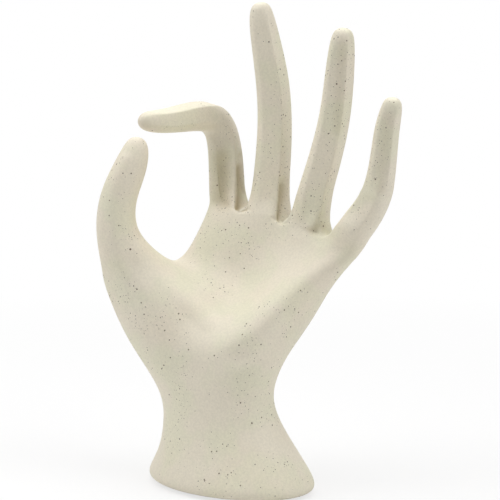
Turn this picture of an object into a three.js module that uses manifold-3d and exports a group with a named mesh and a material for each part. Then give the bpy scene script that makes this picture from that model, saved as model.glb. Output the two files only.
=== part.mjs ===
// A hand statuette making the OK sign: one slip-cast stoneware left hand that rises from a flared foot,
// standing on four felt pads. Millimetres, +Z up. The palm faces -Y and the little finger's side is +X.
// The hand is shaped as a designer would shape it: a coarse cage of control points, smoothed by
// Catmull-Clark subdivision, then hollowed and vented with boolean cuts.
import * as THREE from "three";
import { mergeVertices } from "three/addons/utils/BufferGeometryUtils.js";
import Module from "manifold-3d";

// Driving dimensions: the underside and the casting's wall
const PAD_HEIGHT = 1.2;
const PAD_RADIUS = 4.2;
const PAD_EASE = 0.3;
const PAD_MARGIN = 0.8; // bare rim on either side of a pad
const RIM_WIDTH = 2 * (PAD_RADIUS + PAD_MARGIN); // the unglazed ring that carries the pads
const RECESS_DEPTH = 2; // the floor inside the ring stands clear of the shelf
const FLOOR_THICKNESS = 5;
const WALL_THICKNESS = 6; // in the control points: smoothing takes a twentieth off it
const VENT_RADIUS = 8; // the slip drains through it, and air leaves the hollow by it in the kiln
const VENT_EASE = 1;
const FOOT_ROUNDING = 3; // of the foot's lower edge
const FOOT_FLAT_INSET = 7; // from the foot's widest line in to where its underside is quite flat
const SUBDIVISIONS = 2;

// Driving dimensions: half widths and half depths of the body, from the foot to the knuckles
const FOOT_HALF = [50.2, 35.2];
const WAIST_HALF = [31.5, 22.5];
const HEEL_HALF = [36, 22.5];
const KNUCKLES_HALF = [50, 14];
const FOOT_HEIGHT = 46; // from the foot's underside to the waist
const HEEL_HEIGHT = 19; // from the waist to the heel of the hand
const PALM_HEIGHT = 62; // from the heel of the hand to the knuckles
const PALM_SETBACK = 35; // the knuckles stand this far behind the heel of the hand
const PALM_HOLLOW = 10;
const THENAR_SWELL = 46; // of the ball of the thumb
const WEB_DIP = 3; // the skin between two fingers sags below their roots

// Driving dimensions: where the thumb's root stands, from the middle of the section that it grows out of
const THUMB_OUTWARD = HEEL_HALF[0] + 12.8;
const THUMB_FORWARD = 30;
const THUMB_RISE = 36;

// Driving dimensions: lengths and root half widths and half depths of the fingers and thumb
const INDEX_LENGTH = 94.9;
const MIDDLE_LENGTH = 100.5;
const RING_LENGTH = 91.4;
const LITTLE_LENGTH = 72.9;
const THUMB_LENGTH = 63.9;
const INDEX_HALF = [11.8, 11];
const MIDDLE_HALF = [11.6, 11];
const RING_HALF = [10.8, 10.4];
const LITTLE_HALF = [10.8, 10.2];
const THUMB_HALF = [15, 15.5];

// Cross-sections of the foot, wrist and palm, bottom to top. `step` leads from the centre of the section
// below, and `half` is the half width and half depth. `lean` tips a section towards the back of the hand
// and `roll` lifts its thumb side, in degrees. `square` is the power of its superellipse and `thenar` its
// share of the ball of the thumb. `hollow` gives the shares of the palm's hollow by which the five palm
// columns sink, or swell where negative, and `knuckles` moves the columns over to where the fingers part.
const drawnIn = (half, by) => half.map((size) => size - by);
const between = (low, high, shares) => low.map((size, i) => size + shares[i] * (high[i] - size));
const FLARE_HEIGHT = FOOT_HEIGHT - FOOT_ROUNDING;
const SECTIONS = [
  { step: [0, 0, 0], half: drawnIn(FOOT_HALF, FOOT_FLAT_INSET) },
  { step: [0, 0, 0], half: drawnIn(FOOT_HALF, FOOT_FLAT_INSET / 2.5) },
  { step: [0, 0, FOOT_ROUNDING], half: FOOT_HALF },
  { step: [-0.2, 0, 0.27 * FLARE_HEIGHT], half: between(FOOT_HALF, WAIST_HALF, [0.44, 0.37]) },
  { step: [-4, -1, 0.35 * FLARE_HEIGHT], half: between(FOOT_HALF, WAIST_HALF, [0.83, 0.77]) },
  { step: [-3, -2, 0.38 * FLARE_HEIGHT], half: WAIST_HALF },
  {
    step: [1, 3, HEEL_HEIGHT],
    half: HEEL_HALF,
    lean: 14,
    square: 2.2,
    thenar: 0.44,
    hollow: [0, 0, 0.1, -0.3, -0.2],
    knuckles: 0.1,
  },
  {
    step: [2.5, 0.26 * PALM_SETBACK, 0.21 * PALM_HEIGHT],
    half: between(HEEL_HALF, KNUCKLES_HALF, [0, 0.24]),
    lean: 28,
    roll: 3,
    square: 2.5,
    thenar: 1,
    hollow: [0, -0.3, 0.8, -0.1, -0.6],
    knuckles: 0.3,
  },
  {
    step: [2, 0.34 * PALM_SETBACK, 0.23 * PALM_HEIGHT],
    half: between(HEEL_HALF, KNUCKLES_HALF, [0.18, 0.47]),
    lean: 30,
    roll: 5,
    square: 2.8,
    thenar: 0.25,
    hollow: [0, 0.6, 1, 0.2, -0.7],
    knuckles: 0.6,
  },
  {
    step: [2.8, 0.23 * PALM_SETBACK, 0.32 * PALM_HEIGHT],
    half: between(HEEL_HALF, KNUCKLES_HALF, [0.56, 0.7]),
    lean: 30,
    roll: 9,
    square: 2.9,
    thenar: 0.07,
    hollow: [0, 0.3, 0.8, 0.9, 0.2],
    knuckles: 0.9,
  },
  {
    step: [5.2, 0.17 * PALM_SETBACK, 0.24 * PALM_HEIGHT],
    half: KNUCKLES_HALF,
    lean: 28,
    roll: 10,
    square: 3,
    hollow: [0, 0, 0.6, 1.1, 0.9],
    knuckles: 1,
  },
];
const COLUMNS = [0, 30, 62, 90, 118, 150, 180, 210, 242, 270, 298, 330];
const KNUCKLE_COLUMNS = [0, 30, 64, 88, 106, 150, 180, 210, 254, 272, 296, 330];
const THUMB_LEVEL = SECTIONS.length - 4; // the thumb grows between this section and the next

// The ball of the thumb swells to the thumb's side and to the front by these shares, column by column
const THENAR_SIDE = { 6: 0.75, 7: 1, 8: 0.2 };
const THENAR_FRONT = { 6: 0.75, 7: 1, 8: 0.8, 9: 0.1 };

// Each finger is a row of rings from its root to its tip. `root` leads to the first ring from the middle
// of the knuckles. Each later ring lies `to` further on, in hundredths of the finger's length, and is
// `girth` times as thick as the first.
const across = (share) => share * KNUCKLES_HALF[0];
const FINGERS = {
  index: {
    length: INDEX_LENGTH,
    half: INDEX_HALF,
    root: [across(-0.745), 2.5, 14.5],
    rings: [
      { to: [-3.2, 3.7, 17.4], girth: 0.98 },
      { to: [-4.2, 2.6, 17.4], girth: 0.96 },
      { to: [-3.2, -6.9, 9], girth: 0.93 },
      { to: [-2.1, -15.8, 0.4], girth: 0.84 },
      { to: [-3.2, -20, -2.2], girth: 0.66 },
      { to: [-4.2, -15.3, 1.2], girth: 0.53 },
    ],
  },
  middle: {
    length: MIDDLE_LENGTH,
    half: MIDDLE_HALF,
    root: [across(-0.21), 4, 16],
    rings: [
      { to: [0, 3, 18.9], girth: 0.97 },
      { to: [0.5, 1, 20.4], girth: 0.93 },
      { to: [-0.5, -1.5, 19.9], girth: 0.91 },
      { to: [-2.4, -3.5, 21.4], girth: 0.79 },
      { to: [-1, -2, 11.4], girth: 0.68 },
      { to: [0, -1, 7], girth: 0.43 },
    ],
  },
  ring: {
    length: RING_LENGTH,
    half: RING_HALF,
    root: [across(0.35), 2, 15],
    rings: [
      { to: [6, 3.3, 21.9], girth: 0.95 },
      { to: [7.1, 0, 24.6], girth: 0.89 },
      { to: [4.9, -3.3, 24.1], girth: 0.83 },
      { to: [3.8, -3.3, 17.5], girth: 0.72 },
      { to: [1.6, -1.1, 8.2], girth: 0.47 },
    ],
  },
  little: {
    length: LITTLE_LENGTH,
    half: LITTLE_HALF,
    root: [across(0.93), -2, 4],
    rings: [
      { to: [9.6, 1.4, 11.7], girth: 0.93 },
      { to: [8.9, -0.7, 15.1], girth: 0.86 },
      { to: [5.6, -3.4, 19.9], girth: 0.76 },
      { to: [4.8, -4.1, 21.9], girth: 0.71 },
      { to: [6, -2.7, 15.8], girth: 0.61 },
      { to: [1.4, -1.4, 6.2], girth: 0.36 },
    ],
  },
};
// The thumb grows in the same way, from the middle of its own section
const THUMB = {
  length: THUMB_LENGTH,
  half: THUMB_HALF,
  root: [-THUMB_OUTWARD, -THUMB_FORWARD, THUMB_RISE],
  rings: [
    { to: [-3.1, -7, 24.3], girth: 0.8 },
    { to: [1.8, 1.6, 23.5], girth: 0.72 },
    { to: [7.2, 5.5, 20.3], girth: 0.67 },
    { to: [3.4, 4.7, 14.9], girth: 0.56 },
    { to: [0.8, 3.1, 12.5], girth: 0.32 },
  ],
};

const GLAZE = new THREE.MeshStandardMaterial({ color: 0xe4dcc9, roughness: 0.62, metalness: 0 });
const FELT = new THREE.MeshStandardMaterial({ color: 0x8b857a, roughness: 0.95, metalness: 0 });

const vector = (x, y, z) => new THREE.Vector3(x, y, z);
const radians = THREE.MathUtils.degToRad;
const mean = (points) =>
  points.reduce((sum, point) => sum.add(point), vector(0, 0, 0)).divideScalar(points.length);

// The cage is a list of control points and of faces, each a loop of point numbers seen from outside.
class Cage {
  points = [];
  faces = [];

  ring(points) {
    const first = this.points.length;
    this.points.push(...points);
    return points.map((_, i) => first + i);
  }

  band(lower, upper, skip = () => false) {
    lower.forEach((_, i) => {
      const next = (i + 1) % lower.length;
      if (!skip(i)) this.faces.push([lower[i], lower[next], upper[next], upper[i]]);
    });
  }

  cap(ring) {
    this.faces.push([...ring]);
  }
}

// One step of Catmull-Clark subdivision
function subdivide({ points, faces }) {
  const facePoints = faces.map((face) => mean(face.map((i) => points[i])));
  const edges = new Map();
  const edgeKey = (a, b) => (a < b ? `${a} ${b}` : `${b} ${a}`);
  const around = points.map(() => ({ faces: [], edges: [] }));
  faces.forEach((face, f) =>
    face.forEach((a, k) => {
      const b = face[(k + 1) % face.length];
      const key = edgeKey(a, b);
      if (!edges.has(key)) edges.set(key, { ends: [a, b], faces: [], index: edges.size });
      edges.get(key).faces.push(f);
      around[a].faces.push(f);
    }),
  );
  for (const edge of edges.values()) edge.ends.forEach((i) => around[i].edges.push(edge));

  const moved = points.map((point, i) => {
    const n = around[i].faces.length;
    const middleOfFaces = mean(around[i].faces.map((f) => facePoints[f]));
    const middleOfEdges = mean(around[i].edges.flatMap((edge) => edge.ends.map((k) => points[k])));
    return point
      .clone()
      .multiplyScalar(n - 3)
      .addScaledVector(middleOfEdges, 2)
      .add(middleOfFaces)
      .divideScalar(n);
  });
  const edgePoints = [...edges.values()].map((edge) =>
    mean([...edge.ends.map((i) => points[i]), ...edge.faces.map((f) => facePoints[f])]),
  );
  const firstEdge = moved.length;
  const firstFace = firstEdge + edgePoints.length;
  const edgeNumber = (a, b) => firstEdge + edges.get(edgeKey(a, b)).index;
  const quads = faces.flatMap((face, f) =>
    face.map((a, k) => {
      const before = face[(k + face.length - 1) % face.length];
      const after = face[(k + 1) % face.length];
      return [a, edgeNumber(a, after), firstFace + f, edgeNumber(before, a)];
    }),
  );
  return { points: [...moved, ...edgePoints, ...facePoints], faces: quads };
}

const superellipse = (value, power) => Math.sign(value) * Math.abs(value) ** (2 / power);

// Where a row of steps leads, from a starting point
function placesOf(steps, from) {
  const place = from.clone();
  return steps.map((step) => place.add(vector(...step)).clone());
}
const SECTION_CENTRES = placesOf(
  SECTIONS.map(({ step }) => step),
  vector(0, 0, PAD_HEIGHT),
);

// The directions of a section: `side` points to the little finger's side, `back` to the back of the hand
// and `along` on towards the fingertips.
function sectionFrame({ lean = 0, roll = 0 }) {
  const turn = new THREE.Euler(-radians(lean), radians(roll), 0, "XYZ");
  const [side, back, along] = [vector(1, 0, 0), vector(0, 1, 0), vector(0, 0, 1)].map((axis) =>
    axis.applyEuler(turn),
  );
  return { side, back, along };
}

// The twelve control points of one section. Those of the casting's hollow are drawn in by `inset` and do
// not follow the palm where it swells.
function sectionPoints(section, centre, inset = 0) {
  const { half, square = 2, thenar = 0, hollow = [], knuckles = 0 } = section;
  const { side, back } = sectionFrame(section);
  const swell = Math.max(thenar * THENAR_SWELL - inset, 0) * Math.SQRT1_2;
  const FIRST_PALM_COLUMN = 7;
  return COLUMNS.map((wrist, column) => {
    const angle = radians(wrist + knuckles * (KNUCKLE_COLUMNS[column] - wrist));
    const sideways = (half[0] - inset) * superellipse(Math.cos(angle), square);
    const backwards = (half[1] - inset) * superellipse(Math.sin(angle), square);
    const share = hollow[column - FIRST_PALM_COLUMN] ?? 0;
    const sink = PALM_HOLLOW * (inset > 0 ? Math.max(share, 0) : share);
    return centre
      .clone()
      .addScaledVector(side, sideways - swell * (THENAR_SIDE[column] ?? 0))
      .addScaledVector(back, backwards - swell * (THENAR_FRONT[column] ?? 0) + sink);
  });
}

// A tube of six-sided rings from a socket in the cage out to a rounded tip. The frame turns with the limb,
// without twisting about it.
function growLimb(cage, socket, { side, back, along }, angles, limb, from) {
  const steps = limb.rings.map(({ to }) => to.map((share) => (share / 100) * limb.length));
  const girths = [1, ...limb.rings.map(({ girth }) => girth)];
  const centres = [
    mean(socket.map((i) => cage.points[i])),
    ...placesOf([limb.root, ...steps], from),
  ];
  let ring = socket;
  girths.forEach((girth, i) => {
    const before = centres[i + 1].clone().sub(centres[i]).normalize();
    const after = (centres[i + 2] ?? centres[i + 1]).clone().sub(centres[i + 1]).normalize();
    const heading = before.add(after).normalize();
    const turn = new THREE.Quaternion().setFromUnitVectors(along, heading);
    [side, back, along].forEach((axis) => axis.applyQuaternion(turn));
    const next = cage.ring(
      angles.map((degrees) =>
        centres[i + 1]
          .clone()
          .addScaledVector(side, girth * limb.half[0] * Math.cos(radians(degrees)))
          .addScaledVector(back, girth * limb.half[1] * Math.sin(radians(degrees))),
      ),
    );
    cage.band(ring, next);
    ring = next;
  });
  cage.cap(ring);
}

function handCage() {
  const cage = new Cage();
  const rings = SECTIONS.map((section, i) => cage.ring(sectionPoints(section, SECTION_CENTRES[i])));
  const top = rings.at(-1);
  const knuckles = SECTIONS.at(-1);

  // The foot, wrist and palm, with a gap of two faces where the thumb grows
  const THUMB_COLUMNS = [6, 7];
  cage.cap([...rings[0]].reverse());
  rings.slice(1).forEach((upper, i) => {
    cage.band(rings[i], upper, (column) => i === THUMB_LEVEL && THUMB_COLUMNS.includes(column));
  });

  // The webs between the four fingers
  const palmColumns = [7, 8, 9, 10, 11].map((column) => top[column]);
  const backColumns = [5, 4, 3, 2, 1].map((column) => top[column]);
  const webs = [1, 2, 3].map((i) => {
    const middle = mean([cage.points[palmColumns[i]], cage.points[backColumns[i]]]);
    return cage.ring([middle.addScaledVector(sectionFrame(knuckles).along, -WEB_DIP)])[0];
  });
  const mids = [top[6], ...webs, top[0]];
  const FINGER_ANGLES = [0, 60, 120, 180, 240, 300];
  Object.values(FINGERS).forEach((finger, i) => {
    const socket = [
      mids[i + 1],
      backColumns[i + 1],
      backColumns[i],
      mids[i],
      palmColumns[i],
      palmColumns[i + 1],
    ];
    growLimb(cage, socket, sectionFrame(knuckles), FINGER_ANGLES, finger, SECTION_CENTRES.at(-1));
  });

  // The thumb, whose own frame starts square to its socket
  const low = rings[THUMB_LEVEL];
  const high = rings[THUMB_LEVEL + 1];
  const socket = [low[6], low[7], low[8], high[8], high[7], high[6]];
  const corner = (i) => cage.points[socket[i]];
  const side = mean([corner(2), corner(3)]).sub(mean([corner(0), corner(5)])).normalize();
  const up = mean([corner(3), corner(4), corner(5)]).sub(mean([corner(0), corner(1), corner(2)]));
  const along = side.clone().cross(up).normalize();
  const back = along.clone().cross(side);
  const THUMB_ANGLES = [210, 270, 330, 30, 90, 150];
  growLimb(cage, socket, { side, back, along }, THUMB_ANGLES, THUMB, SECTION_CENTRES[THUMB_LEVEL]);
  return cage;
}

// A geometry from a mesh of quads, each split along the diagonal that stands proud, so that the facets of
// a twisted stretch all run the same way
function quadGeometry({ points, faces }) {
  const corners = faces.flatMap(([a, b, c, d]) => {
    const [toB, toC, toD] = [b, c, d].map((i) => points[i].clone().sub(points[a]));
    return toB.cross(toC).dot(toD) < 0 ? [a, b, c, a, c, d] : [a, b, d, b, c, d];
  });
  return new THREE.BufferGeometry().setFromPoints(points).setIndex(corners);
}

function smooth(cage, times) {
  let mesh = cage;
  for (let i = 0; i < times; i += 1) mesh = subdivide(mesh);
  return quadGeometry(mesh);
}

// The hollow follows the foot, wrist and palm one wall inside them. It stands on the floor of the foot and
// stops short of the knuckles.
function hollowCage() {
  const cage = new Cage();
  const floorLevel = PAD_HEIGHT + RECESS_DEPTH + FLOOR_THICKNESS;
  const last = SECTIONS.length - 2;
  const levels = SECTIONS.map((_, i) => i).filter(
    (i) => i > 2 && i <= last && SECTION_CENTRES[i].z > floorLevel + FOOT_ROUNDING,
  );
  const inner = levels.map((i) => sectionPoints(SECTIONS[i], SECTION_CENTRES[i], WALL_THICKNESS));
  const middle = mean(inner[0]);
  const floors = [0.8, 1].map((share) =>
    inner[0].map((point) => point.clone().sub(middle).multiplyScalar(share).add(middle).setZ(floorLevel)),
  );
  const rings = [...floors, ...inner].map((points) => cage.ring(points));
  cage.cap([...rings[0]].reverse());
  rings.slice(1).forEach((upper, i) => cage.band(rings[i], upper));
  cage.cap(rings.at(-1));
  return cage;
}

// A straight-sided plug with an elliptical outline, standing from `low` to `high`
function ellipticalPlug(half, low, high) {
  const outline = new THREE.Shape();
  outline.absellipse(0, 0, half[0], half[1], 0, 2 * Math.PI);
  return bare(
    new THREE.ExtrudeGeometry(outline, { depth: high - low, bevelEnabled: false, curveSegments: 48 }),
  ).translate(0, 0, low);
}

// A solid turned about the upright axis from its outline, which starts and ends on that axis
function turnedSolid(outline, segments) {
  const points = outline.map(([radius, height]) => new THREE.Vector2(radius, height));
  return bare(new THREE.LatheGeometry(points, segments).rotateX(Math.PI / 2));
}

// Positions only, with the seams closed
function bare(geometry) {
  geometry.deleteAttribute("normal");
  geometry.deleteAttribute("uv");
  return mergeVertices(geometry, 1e-4);
}

// Boolean cuts run on manifold solids
const wasm = await Module();
wasm.setup();
const toManifold = (geometry) =>
  new wasm.Manifold(
    new wasm.Mesh({
      numProp: 3,
      vertProperties: new Float32Array(geometry.getAttribute("position").array),
      triVerts: new Uint32Array(geometry.getIndex().array),
    }),
  );
const toGeometry = (solid) => {
  const { vertProperties, triVerts } = solid.getMesh();
  const geometry = new THREE.BufferGeometry();
  geometry.setAttribute("position", new THREE.BufferAttribute(vertProperties, 3));
  return geometry.setIndex(new THREE.BufferAttribute(triVerts, 1));
};

// The casting: the hand, less its hollow, the recess under the foot and the vent through the floor
const SMOOTHED_SHARE = 0.9; // smoothing draws the edge of the flat underside in to this share
const flatHalf = SECTIONS[0].half.map((size) => size * SMOOTHED_SHARE);
const recessHalf = drawnIn(flatHalf, RIM_WIDTH);
const ceiling = PAD_HEIGHT + RECESS_DEPTH;
const vent = turnedSolid(
  [
    [0, ceiling - 1],
    [VENT_RADIUS + VENT_EASE + 1, ceiling - 1],
    [VENT_RADIUS, ceiling + VENT_EASE],
    [VENT_RADIUS, ceiling + FLOOR_THICKNESS + 2],
    [0, ceiling + FLOOR_THICKNESS + 2],
  ],
  32,
);
const casting = toManifold(smooth(handCage(), SUBDIVISIONS))
  .subtract(toManifold(smooth(hollowCage(), 1)))
  .subtract(toManifold(ellipticalPlug(recessHalf, 0, ceiling)))
  .subtract(toManifold(vent));

const statuette = new THREE.Group();
const add = (name, solid, material) => {
  const mesh = new THREE.Mesh(toGeometry(solid), material);
  mesh.name = name;
  statuette.add(mesh);
};
add("hand", casting, GLAZE);

// Four felt pads stuck to the unglazed rim
const rimMiddle = drawnIn(flatHalf, RIM_WIDTH / 2);
const PAD_PLACES = { front_left: 225, front_right: 315, rear_left: 135, rear_right: 45 };
for (const [place, degrees] of Object.entries(PAD_PLACES)) {
  const pad = turnedSolid(
    [
      [0, 0],
      [PAD_RADIUS - PAD_EASE, 0],
      [PAD_RADIUS, PAD_EASE],
      [PAD_RADIUS, PAD_HEIGHT],
      [0, PAD_HEIGHT],
    ],
    32,
  ).translate(
    rimMiddle[0] * Math.cos(radians(degrees)),
    rimMiddle[1] * Math.sin(radians(degrees)),
    0,
  );
  add(`foot_pad_${place}`, toManifold(pad), FELT);
}

// The origin is under the middle of the whole outline, on the surface that the pads stand on
const outline = new THREE.Box3().setFromObject(statuette);
const middle = outline.getCenter(vector(0, 0, 0));
statuette.children.forEach(({ geometry }) => geometry.translate(-middle.x, -middle.y, 0));

export default statuette;
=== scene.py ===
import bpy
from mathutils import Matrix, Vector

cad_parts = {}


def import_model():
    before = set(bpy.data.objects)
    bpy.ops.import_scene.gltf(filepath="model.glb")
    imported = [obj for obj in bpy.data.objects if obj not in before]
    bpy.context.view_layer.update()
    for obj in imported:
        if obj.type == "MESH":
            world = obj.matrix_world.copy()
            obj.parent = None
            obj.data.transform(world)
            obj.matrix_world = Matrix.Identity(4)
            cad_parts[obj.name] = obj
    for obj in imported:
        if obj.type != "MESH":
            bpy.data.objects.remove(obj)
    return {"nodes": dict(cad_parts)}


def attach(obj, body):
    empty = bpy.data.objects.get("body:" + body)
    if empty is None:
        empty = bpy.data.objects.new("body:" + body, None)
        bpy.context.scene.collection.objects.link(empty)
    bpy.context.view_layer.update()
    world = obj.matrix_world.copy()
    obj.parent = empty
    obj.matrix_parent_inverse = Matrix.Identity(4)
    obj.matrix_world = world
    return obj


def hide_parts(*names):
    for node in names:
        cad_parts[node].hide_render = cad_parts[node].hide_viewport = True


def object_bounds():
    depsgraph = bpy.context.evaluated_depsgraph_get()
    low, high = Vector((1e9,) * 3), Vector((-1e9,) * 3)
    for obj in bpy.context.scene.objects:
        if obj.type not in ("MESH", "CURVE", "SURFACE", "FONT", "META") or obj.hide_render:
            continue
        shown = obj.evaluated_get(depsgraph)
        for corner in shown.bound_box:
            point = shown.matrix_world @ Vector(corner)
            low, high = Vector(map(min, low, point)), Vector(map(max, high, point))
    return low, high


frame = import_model()
CAD_BOX = [list(corner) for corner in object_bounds()]

import math

import bmesh
import bpy
import numpy as np
from mathutils import Vector
from mathutils.bvhtree import BVHTree

MM = 0.001

# Camera, as the photograph has it. The scale holds at the distance of the point that it aims at.
AIM = Vector((-0.00389, 0.00093, 0.1199))
CAMERA_DISTANCE = 0.9
CAMERA_AZIMUTH = math.radians(37)
CAMERA_ELEVATION = math.radians(8)
METRES_PER_PIXEL = 0.000503
IMAGE_SIDE = 500 # pixels, of a square picture
SENSOR_WIDTH = 36

# Colours, as linear values. A tinge or tint is multiplied with the colour under it.
GLAZE = (0.79, 0.73, 0.60)
GREEN_TINGE = (0.965, 1.0, 0.955)
PINK_TINGE = (1.0, 0.985, 0.975)
# Painted shade: this darker tint is multiplied into the glaze in creases, clefts and finger fronts, where
# shade falls
PAINTED_SHADE_TINT = (0.62, 0.57, 0.45)
CLAY = (0.62, 0.52, 0.40)
SPECK = (0.13, 0.085, 0.05)
PALE_SPECK = (0.93, 0.91, 0.86)
FELT = (0.26, 0.235, 0.195)
FELT_FIBRE = (0.34, 0.315, 0.27)
FLOOR_COLOUR = (0.9, 0.9, 0.9)
WHITE = (1.0, 1.0, 1.0)

# Random patterns: patches to a metre, octaves of detail and the roughness of the detail. Where two more
# values follow, the pattern comes in between them.
GREEN_PATCHES = ((55, 2, 0.5), (0.4, 0.65))
PINK_PATCHES = ((23, 3, 0.5), (0.45, 0.7))
MOTTLE = ((900, 3, 0.6), (0.3, 0.7))
SPECK_CROWDS = ((60, 3, 0.6), (0.43, 0.66))
FELT_FIBRES = ((1400, 4, 0.7), (0.35, 0.65))
EDGE_WAVES = (300, 2, 0.5)
GLAZE_GRAIN = (1500, 3, 0.6)

# Surfaces: the mottle's darkest and palest shade, roughness, and the strength and depth of the relief
MOTTLE_SHADES = (0.95, 1.04)
GLAZE_ROUGHNESS = 0.62
CLAY_ROUGHNESS = 0.9
FELT_ROUGHNESS = 0.95
GLAZE_RELIEF = (0.25, 0.2 * MM)
FELT_RELIEF = (0.6, 0.3 * MM)

# The glaze thins out between two heights and the clay below is bare. The edge waves by up to WAVE_HEIGHT.
GLAZE_EDGE = (1.6 * MM, 2.6 * MM)
WAVE_HEIGHT = 0.6 * MM

# Specks in the glaze: millimetres between their places, their largest radius in millimetres, and the chance
# of a speck at each place where they crowd most. A chance above 1 fills places further out in a crowd too.
DARK_SPECKS = [(1.3, 0.22, 1.2), (2.6, 0.42, 1.3), (9.0, 0.6, 0.7)]
PALE_SPECKS = (2.6, 0.28, 0.8)
SMALLEST_SPECK = 0.35 # as a share of the largest radius
DARK_SPECK_SHARE = 0.95 # of a speck's own colour over the glaze
PALE_SPECK_SHARE = 0.6

# Light: azimuth from the camera and elevation in degrees, power in watts, the rest in metres
LIGHT_DISTANCE = 1.1
SOFTBOX_WIDTH = 0.8
SOFTBOXES = [
    ("left_softbox", -90, 40, 5.1),
    ("right_softbox", 66, 35, 4.6),
    ("high_back_softbox", 180, 62, 4.9),
    ("high_left_softbox", -60, 65, 2.3),
    ("high_right_softbox", 60, 65, 1.8),
    ("top_softbox", 0, 88, 3.0),
    ("low_left_fill", -50, 5, 1.3),
    ("low_right_fill", 50, 5, 0.9),
]

# Floor: the camera sees it mixed with plain white, by these shares at these distances from the middle
FLOOR_SIZE = 12
FLOOR_FADE = (0.15, 0.6)
FLOOR_WHITE = (0.7, 1.0)

# Skin: triangles are joined in pairs below the two joining angles, and edges stay sharp above the sharp one
WELD_DISTANCE = 1e-6
JOINING_FACE_ANGLE = math.radians(40)
JOINING_SHAPE_ANGLE = math.radians(50)
SHARP_ANGLE = math.radians(38)
SKIN_LEVELS = 2

# Fingers, in millimetres and degrees: the line through the middle of each from root to tip, and the way
# that its little finger's side faces. Each flat face has the angle of its middle, from that side towards
# the front, half its width, and where along the line it begins and ends.
UPRIGHT_FACES = [(64, 36, 0, 200), (-8, 36, 0, 200)]
FINGERS = {
    "index": {
        "axis": [(-38, 29, 136), (-43, 32.5, 159), (-47, 35, 175.5), (-50, 29, 184), (-52, 14, 184.5),
                 (-55, -5, 182.5), (-59, -20, 183.5)],
        "side": (1, 0.2, 0.1),
        "faces": [(66, 36, 0, 44), (-6, 36, 0, 58), (-4, 30, 50, 102), (-62, 28, 46, 102)],
    },
    "middle": {
        "axis": [(-12, 29, 134), (-13.5, 33, 160), (-13, 34.5, 184), (-13.5, 33, 204), (-16, 29.5, 225),
                 (-17, 27, 243)],
        "side": (1, 0, 0),
        "faces": UPRIGHT_FACES,
    },
    "ring": {
        "axis": [(14, 28.5, 130), (15, 29, 143), (20, 31.5, 163), (26.5, 31.5, 186), (31, 28.5, 208),
                 (36, 24.5, 231)],
        "side": (1, 0, -0.25),
        "faces": UPRIGHT_FACES,
    },
    "little": {
        "axis": [(38, 26, 125), (50.5, 25.5, 141), (57, 25, 152), (61, 23, 166), (64.5, 20, 182),
                 (70, 17, 198)],
        "side": (1, 0, -0.4),
        "faces": [(98, 40, 12, 46), (64, 36, 36, 200), (-8, 36, 36, 200)],
    },
}
FLATNESS = 0.9 # of those faces, where 1 is quite flat
FACE_FADE_IN = 8 # length along the line over which a face begins
FACE_FADE_OUT = 16 # and over which it ends
FINGER_REACH = 15 # nothing further than this from a finger's line is made flat
REACH_FADE = 2 # length over which the flattening fades before that
FINGER_ROUNDING = 3 # times that the corners of a finger's line are cut

# Relief that shows from the front, drawn over the photograph: points in its pixels, how far the stroke
# reaches to either side in pixels, and its height in millimetres, sunk where it is negative
STROKES = {
    "palm_ridge": ([(200, 346), (235, 329), (266, 310), (300, 284), (328, 258), (345, 244)], 32, 1.8),
    "palm_middle": ([(240, 268), (266, 240), (292, 218)], 28, -1.3),
    "ring_root_slope": ([(298, 224), (326, 236)], 14, -0.8),
    "heel_hollow": ([(238, 358), (262, 345), (290, 322)], 16, -1.0),
    "thumb_ball_ridge": ([(138, 252), (159, 275), (184, 298), (208, 322)], 14, 0.9),
    "index_cleft": ([(244, 156), (242, 180), (241, 205)], 8, -3.0),
    "index_crease": ([(234, 207), (247, 209)], 4, -1.0),
    "middle_cleft": ([(284, 180), (281, 215)], 6, -2.4),
    "middle_crease": ([(274, 218), (286, 220)], 4, -1.0),
    "ring_cleft": ([(322, 216), (316, 231)], 6, -1.2),
    "ring_crease": ([(304, 230), (322, 234)], 4, -0.8),
    "little_bend": ([(364, 193), (379, 197)], 8, 0.5),
    "index_front": ([(221, 146), (221, 200)], 14, -1.6),
    "index_front_low": ([(222, 178), (222, 202)], 16, -1.5),
    "thumb_ridge": ([(126, 160), (112, 195), (112, 235), (124, 275)], 10, 0.6),
    "wrist_front": ([(242, 385), (236, 430), (236, 480)], 18, -0.5),
}

# Painted shade: the glaze is made darker in creases, in the clefts between fingers, on the fronts of the
# fingers and under the bent index finger, where shade falls, drawn in the same way, with a share from 0 to
# 1 in place of the height
PAINTED_SHADE_STROKES = {
    "index_front": ([(221, 158), (221, 198)], 15, 0.62),
    "index_cleft": ([(243, 168), (241, 204)], 7, 0.85),
    "middle_cleft": ([(284, 186), (281, 215)], 5, 0.7),
    "ring_corner": ([(310, 230), (321, 226)], 7, 0.5),
    "little_front": ([(388, 118), (380, 188)], 10, 0.2),
    "ring_front": ([(342, 45), (337, 130)], 8, 0.2),
}

# Painted light and shade: more dark specks gather where shade falls, and fewer where light falls and the
# share is negative, drawn in the same way
PAINTED_LIGHT_CROWDS = {
    "under_thumb": ([(148, 322), (174, 306), (182, 345)], 20, 0.9),
    "knuckles": ([(222, 222), (250, 246)], 22, 1.0),
    "wrist_ridge": ([(250, 342), (238, 375), (238, 415)], 16, 0.9),
    "wrist_left": ([(180, 372), (180, 420)], 8, 0.9),
    "little_side": ([(285, 312), (305, 286)], 14, 0.7),
    "palm_bright": ([(205, 330), (240, 305), (290, 270), (325, 245)], 32, -1.0),
    "thumb_root_bright": ([(158, 258), (196, 298)], 20, -0.8),
    "index_finger": ([(226, 130), (222, 200)], 18, 0.7),
    "index_tip": ([(148, 118), (212, 108)], 18, -0.8),
    "middle_finger": ([(296, 30), (290, 90), (286, 205)], 24, 1.0),
    "ring_finger": ([(342, 50), (336, 110), (314, 215)], 24, 1.0),
    "little_finger": ([(389, 112), (378, 185)], 16, 0.9),
}
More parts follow.
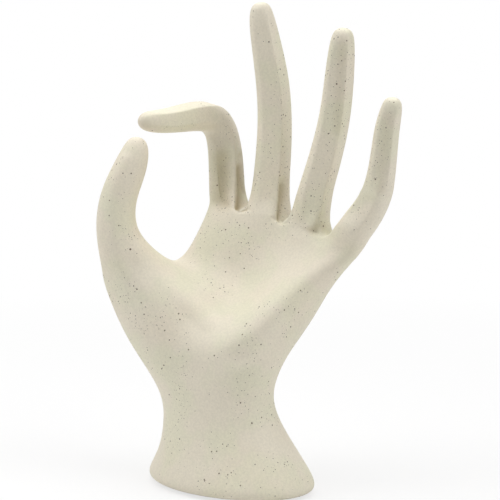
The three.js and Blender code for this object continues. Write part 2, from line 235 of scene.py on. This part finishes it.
# Painted light and shade: the strength with which the drawn crowds darken shaded places and lighten lit
# ones
PAINTED_LIGHT_STRENGTH = 0.2 # how far a share of 1 moves the random crowds of specks
STROKE_ROUNDING = 2 # times that the corners of a stroke are cut
CORNER_CUT = 0.25 # share of each stretch that one cut takes off at either end

# A stroke fades out on skin that the camera sees at a grazing angle, between these cosines
GRAZING_FADE = (0.02, 0.22)
SKIN_CLEARANCE = 0.5 # millimetres above the skin, from where a vertex looks for what hides it


def link(obj):
    bpy.context.scene.collection.objects.link(obj)
    return obj


def view_point(azimuth, elevation, distance):
    """The point at this distance from AIM, seen from it at these angles."""
    return AIM + distance * Vector((
        math.sin(azimuth) * math.cos(elevation),
        -math.cos(azimuth) * math.cos(elevation),
        math.sin(elevation),
    ))


def rgba(colour):
    return (*colour, 1.0)


# Shader nodes
class Nodes:
    """Adds shader nodes to a tree and joins them in one call."""

    def __init__(self, tree):
        self.tree = tree
        tree.nodes.clear()

    def add(self, kind, settings=None, **inputs):
        node = self.tree.nodes.new(kind)
        for key, value in (settings or {}).items():
            setattr(node, key, value)
        for key, value in inputs.items():
            self.feed(node.inputs[key.replace("_", " ")], value)
        return node

    def feed(self, socket, value):
        if isinstance(value, bpy.types.NodeSocket):
            self.tree.links.new(value, socket)
        else:
            socket.default_value = value

    def maths(self, operation, *values):
        node = self.add("ShaderNodeMath", {"operation": operation})
        for socket, value in zip(node.inputs, values):
            self.feed(socket, value)
        return node.outputs[0]

    def spread(self, value, limits, ends, easing="LINEAR"):
        """The value's place between two limits, as a value between two ends."""
        return self.add(
            "ShaderNodeMapRange", {"interpolation_type": easing}, Value=value,
            From_Min=limits[0], From_Max=limits[1], To_Min=ends[0], To_Max=ends[1],
        ).outputs[0]

    def ramp(self, value, limits, ends=(0.0, 1.0)):
        return self.spread(value, limits, ends, "SMOOTHSTEP")

    def mix(self, share, first, second, blend="MIX"):
        node = self.add("ShaderNodeMix", {"data_type": "RGBA", "blend_type": blend})
        self.feed(node.inputs[0], share)
        self.feed(node.inputs[6], first)
        self.feed(node.inputs[7], second)
        return node.outputs[2]

    def place(self):
        return self.add("ShaderNodeTexCoord").outputs["Object"]

    def noise(self, place, texture):
        scale, detail, roughness = texture
        node = self.add("ShaderNodeTexNoise", Vector=place, Scale=scale, Detail=detail, Roughness=roughness)
        return node.outputs["Fac"]

    def patches(self, place, pattern, ends=(0.0, 1.0)):
        texture, limits = pattern
        return self.ramp(self.noise(place, texture), limits, ends)

    def mark(self, name):
        """What draw_relief left on the mesh under this name."""
        return self.add("ShaderNodeAttribute", {"attribute_name": name}).outputs["Fac"]

    def surface(self, colour, roughness, height, relief):
        """The surface's shader, with a relief of the given strength and depth."""
        strength, depth = relief
        bumps = self.add("ShaderNodeBump", Height=height, Strength=strength, Distance=depth).outputs[0]
        shader = self.add("ShaderNodeBsdfPrincipled", Base_Color=colour, Roughness=roughness, Normal=bumps)
        self.add("ShaderNodeOutputMaterial", Surface=shader.outputs[0])


def new_material(name):
    material = bpy.data.materials.new(name)
    material.use_nodes = True
    return material, Nodes(material.node_tree)


# Stoneware
def glaze_colour_and_painted_shade(nodes, place):
    """Cream with patches of green and pink and a fine mottle, and painted shade, darker where shade falls
    in creases and clefts.
    """
    green_glaze = [cream * tinge for cream, tinge in zip(GLAZE, GREEN_TINGE)]
    green = nodes.mix(nodes.patches(place, GREEN_PATCHES), rgba(GLAZE), rgba(green_glaze))
    tinted = nodes.mix(nodes.patches(place, PINK_PATCHES), green, rgba(PINK_TINGE), "MULTIPLY")
    shade = nodes.patches(place, MOTTLE, MOTTLE_SHADES)
    grey = nodes.add("ShaderNodeCombineColor", Red=shade, Green=shade, Blue=shade).outputs[0]
    mottled = nodes.mix(1.0, tinted, grey, "MULTIPLY")
    # Painted shade: darker where the shade strokes are drawn
    return nodes.mix(nodes.mark("painted_shade"), mottled, rgba(PAINTED_SHADE_TINT), "MULTIPLY")


def specks(nodes, place, layer, crowd):
    """One where there is a speck and nought elsewhere. Specks gather where crowd is high."""
    spacing, largest, chance = layer
    cells = nodes.add("ShaderNodeTexVoronoi", {"feature": "F1"}, Vector=place, Scale=1 / (spacing * MM))
    # Two channels of each cell's random colour are its dice, for its size and for having a speck at all
    dice = nodes.add("ShaderNodeSeparateColor", Color=cells.outputs["Color"]).outputs
    size = nodes.ramp(dice["Green"], (0.0, 1.0), (SMALLEST_SPECK, 1.0))
    radius = nodes.maths("MULTIPLY", size, largest / spacing)
    inside = nodes.maths("LESS_THAN", cells.outputs["Distance"], radius)
    chosen = nodes.maths("LESS_THAN", dice["Red"], nodes.maths("MULTIPLY", crowd, chance))
    return nodes.maths("MULTIPLY", inside, chosen)


def specks_and_painted_light(nodes, place, colour):
    """The colour with pale and dark specks, which gather at random, and as painted light and shade: more
    where drawn for shade, fewer where drawn for light.
    """
    texture, limits = SPECK_CROWDS
    # Painted light and shade: the drawn crowds add specks where shade falls and take them away where light
    # falls
    drawn = nodes.maths("MULTIPLY", nodes.mark("specks_and_painted_light"), PAINTED_LIGHT_STRENGTH)
    crowd = nodes.ramp(nodes.maths("ADD", nodes.noise(place, texture), drawn), limits)
    pale = nodes.maths("MULTIPLY", specks(nodes, place, PALE_SPECKS, crowd), PALE_SPECK_SHARE)
    colour = nodes.mix(pale, colour, rgba(PALE_SPECK))
    dark = 0.0
    for layer in DARK_SPECKS:
        dark = nodes.maths("MAXIMUM", dark, specks(nodes, place, layer, crowd))
    return nodes.mix(nodes.maths("MULTIPLY", dark, DARK_SPECK_SHARE), colour, rgba(SPECK))


def bare_clay(nodes, place):
    """One where the clay is bare, below the glaze's wavy lower edge."""
    height = nodes.add("ShaderNodeSeparateXYZ", Vector=place).outputs["Z"]
    wave = nodes.maths("MULTIPLY", nodes.noise(place, EDGE_WAVES), WAVE_HEIGHT)
    return nodes.ramp(nodes.maths("ADD", height, wave), GLAZE_EDGE, (1.0, 0.0))


def stoneware_material():
    material, nodes = new_material("stoneware")
    place = nodes.place()
    bare = bare_clay(nodes, place)
    colour = nodes.mix(bare, specks_and_painted_light(nodes, place, glaze_colour_and_painted_shade(nodes, place)), rgba(CLAY))
    roughness = nodes.ramp(bare, (0.0, 1.0), (GLAZE_ROUGHNESS, CLAY_ROUGHNESS))
    nodes.surface(colour, roughness, nodes.noise(place, GLAZE_GRAIN), GLAZE_RELIEF)
    return material


# Felt
def felt_material():
    material, nodes = new_material("felt")
    texture, limits = FELT_FIBRES
    fibre = nodes.noise(nodes.place(), texture)
    colour = nodes.mix(nodes.ramp(fibre, limits), rgba(FELT), rgba(FELT_FIBRE))
    nodes.surface(colour, FELT_ROUGHNESS, fibre, FELT_RELIEF)
    return material


# Meshes and lines
def places_of(mesh):
    places = np.zeros(len(mesh.vertices) * 3, np.float32)
    mesh.vertices.foreach_get("co", places)
    return places.reshape(-1, 3).astype(float)


def normals_of(mesh):
    normals = np.zeros(len(mesh.vertices) * 3, np.float32)
    mesh.vertex_normals.foreach_get("vector", normals)
    return normals.reshape(-1, 3).astype(float)


def move_to(mesh, places):
    mesh.vertices.foreach_set("co", places.astype(np.float32).ravel())
    mesh.update()


def unit(vectors):
    return vectors / np.maximum(np.linalg.norm(vectors, axis=-1, keepdims=True), 1e-12)


def bump(offset, reach):
    """One in the middle, falling smoothly to nought at the reach."""
    share = np.clip(np.abs(offset) / reach, 0, 1)
    return (1 - share ** 2) ** 2


def rounded(points, times):
    """The points with their corners cut so many times, both ends kept."""
    line = np.array(points, float)
    for _ in range(times):
        cut = [line[:1]]
        for start, end in zip(line[:-1], line[1:]):
            cut.append([start + CORNER_CUT * (end - start), end - CORNER_CUT * (end - start)])
        line = np.concatenate([*cut, line[-1:]])
    return line


def nearest_on_line(points, line):
    """Each point's distance from the line, the length along it there and the number of its stretch."""
    least = np.full(len(points), np.inf)
    along = np.zeros(len(points))
    stretch = np.zeros(len(points), int)
    passed = 0.0
    for number, (start, end) in enumerate(zip(line[:-1], line[1:])):
        span = np.linalg.norm(end - start)
        share = np.clip((points - start) @ (end - start) / span ** 2, 0, 1)
        gap = np.linalg.norm(points - start - share[:, None] * (end - start), axis=1)
        closer = gap < least
        least[closer] = gap[closer]
        along[closer] = passed + share[closer] * span
        stretch[closer] = number
        passed += span
    return least, along, stretch


# Hand
def smoothed(obj):
    return obj.evaluated_get(bpy.context.evaluated_depsgraph_get())


def fine_skin():
    """The hand's solid, smoothed into fine faces."""
    mesh = frame["nodes"]["hand"].data.copy()
    net = bmesh.new()
    net.from_mesh(mesh)
    bmesh.ops.remove_doubles(net, verts=net.verts, dist=WELD_DISTANCE)
    bmesh.ops.join_triangles(
        net, faces=net.faces,
        angle_face_threshold=JOINING_FACE_ANGLE, angle_shape_threshold=JOINING_SHAPE_ANGLE,
    )
    crease = net.edges.layers.float.new("crease_edge")
    for edge in net.edges:
        if len(edge.link_faces) == 2 and edge.calc_face_angle(0) > SHARP_ANGLE:
            edge[crease] = 1.0
    net.to_mesh(mesh)
    net.free()
    skin = link(bpy.data.objects.new("hand_skin", mesh))
    smooth = skin.modifiers.new("smooth", "SUBSURF")
    smooth.levels = smooth.render_levels = SKIN_LEVELS
    # Smoothing draws corners in, so they are first moved out by as much
    corners = places_of(mesh)
    drawn_in = places_of(smoothed(skin).data)[:len(corners)]
    move_to(mesh, 2 * corners - drawn_in)
    fine = bpy.data.meshes.new_from_object(smoothed(skin))
    skin.modifiers.clear()
    skin.data = fine
    fine.polygons.foreach_set("use_smooth", np.ones(len(fine.polygons), bool))
    return skin


def shape_fingers(mesh):
    """Gives each finger flat faces, which meet in soft edges."""
    places = places_of(mesh)
    moves = np.zeros_like(places)
    nearest = np.full(len(places), np.inf)
    for finger in FINGERS.values():
        line = rounded(np.array(finger["axis"]) * MM, FINGER_ROUNDING)
        marks = np.cumsum([0, *np.linalg.norm(np.diff(line, axis=0), axis=1)])
        gap, along, stretch = nearest_on_line(places, line)
        heading = unit(np.diff(line, axis=0))[stretch]
        away = places - np.stack([np.interp(along, marks, row) for row in line.T], axis=1)
        side = np.array(finger["side"], float)
        side = unit(side - (heading @ side)[:, None] * heading)
        front = np.cross(side, heading)
        angle = np.degrees(np.arctan2((away * front).sum(1), (away * side).sum(1)))
        sunk = np.zeros(len(places))
        for middle, half_width, start, end in finger["faces"]:
            turn = (angle - middle + 180) % 360 - 180
            off = np.radians(np.clip(np.abs(turn), 0, half_width))
            depth = gap * (1 - math.cos(math.radians(half_width)) / np.cos(off))
            begun = np.clip((along - start * MM) / (FACE_FADE_IN * MM), 0, 1)
            left = np.clip((min(marks[-1], end * MM) - along) / (FACE_FADE_OUT * MM), 0, 1)
            sunk += FLATNESS * depth * begun * left
        sunk *= np.clip((FINGER_REACH * MM - gap) / (REACH_FADE * MM), 0, 1)
        outward = unit(away - (away * heading).sum(1, keepdims=True) * heading)
        nearer = gap < nearest
        nearest[nearer] = gap[nearer]
        moves[nearer] = (-sunk[:, None] * outward)[nearer]
    move_to(mesh, places + moves)


def photo_pixels(places):
    """Where each place is in the photograph."""
    eye = view_point(CAMERA_AZIMUTH, CAMERA_ELEVATION, CAMERA_DISTANCE)
    ahead = (AIM - eye).normalized()
    right = ahead.cross(Vector((0, 0, 1))).normalized()
    up = right.cross(ahead)
    away = places - np.array(eye)
    scale = CAMERA_DISTANCE / METRES_PER_PIXEL / (away @ np.array(ahead))
    half = IMAGE_SIDE / 2
    return np.stack([half + scale * (away @ np.array(right)), half - scale * (away @ np.array(up))], axis=1)


def seen_from_front(mesh):
    """One for each vertex that the camera sees, down to nought for those turned or hidden from it."""
    places = places_of(mesh)
    normals = normals_of(mesh)
    eye = view_point(CAMERA_AZIMUTH, CAMERA_ELEVATION, CAMERA_DISTANCE)
    towards = (normals * unit(np.array(eye) - places)).sum(1)
    least, full = GRAZING_FADE
    seen = np.clip((towards - least) / (full - least), 0, 1)
    faces = [tuple(face.vertices) for face in mesh.polygons]
    skin = BVHTree.FromPolygons([Vector(place) for place in places], faces)
    for i in np.flatnonzero(seen):
        start = Vector(places[i] + normals[i] * SKIN_CLEARANCE * MM)
        if skin.ray_cast(start, eye - start)[0] is not None:
            seen[i] = 0
    return seen


def draw_relief(mesh):
    """Raises and sinks the skin where it is drawn, and marks the painted shade and the speck crowds that
    paint light and shade.
    """
    places = places_of(mesh)
    normals = normals_of(mesh)
    seen = seen_from_front(mesh)
    pixels = photo_pixels(places)

    def drawn(strokes):
        total = np.zeros(len(places))
        for points, reach, amount in strokes.values():
            offset = nearest_on_line(pixels, rounded(points, STROKE_ROUNDING))[0]
            total += amount * bump(offset, reach)
        return total * seen

    move_to(mesh, places + normals * drawn(STROKES)[:, None] * MM)
    # The first mark holds the painted shade, the second the drawn speck crowds, which paint light and shade
    for name, strokes in (("painted_shade", PAINTED_SHADE_STROKES), ("specks_and_painted_light", PAINTED_LIGHT_CROWDS)):
        shares = mesh.attributes.new(name, "FLOAT", "POINT")
        shares.data.foreach_set("value", np.clip(drawn(strokes), -1, 1).astype(np.float32))


def hand_skin(material):
    skin = fine_skin()
    shape_fingers(skin.data)
    draw_relief(skin.data)
    # No relief stands out of the solids' box
    move_to(skin.data, np.clip(places_of(skin.data), *CAD_BOX))
    skin.data.materials.clear()
    skin.data.materials.append(material)
    return skin


# Floor, light and camera
def floor():
    bpy.ops.mesh.primitive_plane_add(size=FLOOR_SIZE, location=(0, 0, 0))
    plane = bpy.context.object
    plane.name = "floor"
    material, nodes = new_material("floor")
    plain = nodes.add("ShaderNodeBsdfDiffuse", Color=rgba(FLOOR_COLOUR))
    white = nodes.add("ShaderNodeEmission", Color=rgba(WHITE), Strength=1.0)
    distance = nodes.add("ShaderNodeVectorMath", {"operation": "LENGTH"})
    nodes.feed(distance.inputs[0], nodes.place())
    far = nodes.spread(distance.outputs["Value"], FLOOR_FADE, FLOOR_WHITE)
    camera_ray = nodes.add("ShaderNodeLightPath").outputs["Is Camera Ray"]
    mixed = nodes.add("ShaderNodeMixShader", Fac=nodes.maths("MULTIPLY", camera_ray, far))
    nodes.feed(mixed.inputs[1], plain.outputs[0])
    nodes.feed(mixed.inputs[2], white.outputs[0])
    nodes.add("ShaderNodeOutputMaterial", Surface=mixed.outputs[0])
    plane.data.materials.append(material)


def world():
    """White where the camera or a reflection sees it, and dark to diffuse light."""
    studio = bpy.data.worlds.new("studio")
    bpy.context.scene.world = studio
    studio.use_nodes = True
    nodes = Nodes(studio.node_tree)
    path = nodes.add("ShaderNodeLightPath").outputs
    seen = nodes.maths("MAXIMUM", path["Is Camera Ray"], path["Is Glossy Ray"])
    seen = nodes.maths("MAXIMUM", seen, path["Is Transmission Ray"])
    shader = nodes.add("ShaderNodeBackground", Color=rgba(WHITE), Strength=seen)
    nodes.add("ShaderNodeOutputWorld", Surface=shader.outputs[0])


def turn_to_aim(obj):
    obj.rotation_euler = (AIM - obj.location).to_track_quat("-Z", "Y").to_euler()


def lights():
    for name, azimuth, elevation, power in SOFTBOXES:
        light = bpy.data.lights.new(name, "AREA")
        light.shape = "SQUARE"
        light.size = SOFTBOX_WIDTH
        light.energy = power
        lamp = link(bpy.data.objects.new(name, light))
        around = CAMERA_AZIMUTH + math.radians(azimuth)
        lamp.location = view_point(around, math.radians(elevation), LIGHT_DISTANCE)
        turn_to_aim(lamp)


def camera():
    data = bpy.data.cameras.new("camera")
    data.sensor_fit = "HORIZONTAL"
    data.sensor_width = SENSOR_WIDTH
    data.lens = SENSOR_WIDTH * CAMERA_DISTANCE / (METRES_PER_PIXEL * IMAGE_SIDE)
    view = link(bpy.data.objects.new("camera", data))
    view.location = view_point(CAMERA_AZIMUTH, CAMERA_ELEVATION, CAMERA_DISTANCE)
    turn_to_aim(view)
    bpy.context.scene.camera = view


bpy.context.scene.view_settings.view_transform = "Standard"
camera()
skin = hand_skin(stoneware_material())
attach(skin, "root")
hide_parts("hand")
felt = felt_material()
for name, obj in frame["nodes"].items():
    if name.startswith("foot_pad"):
        obj.data.materials.clear()
        obj.data.materials.append(felt)
floor()
world()
lights()
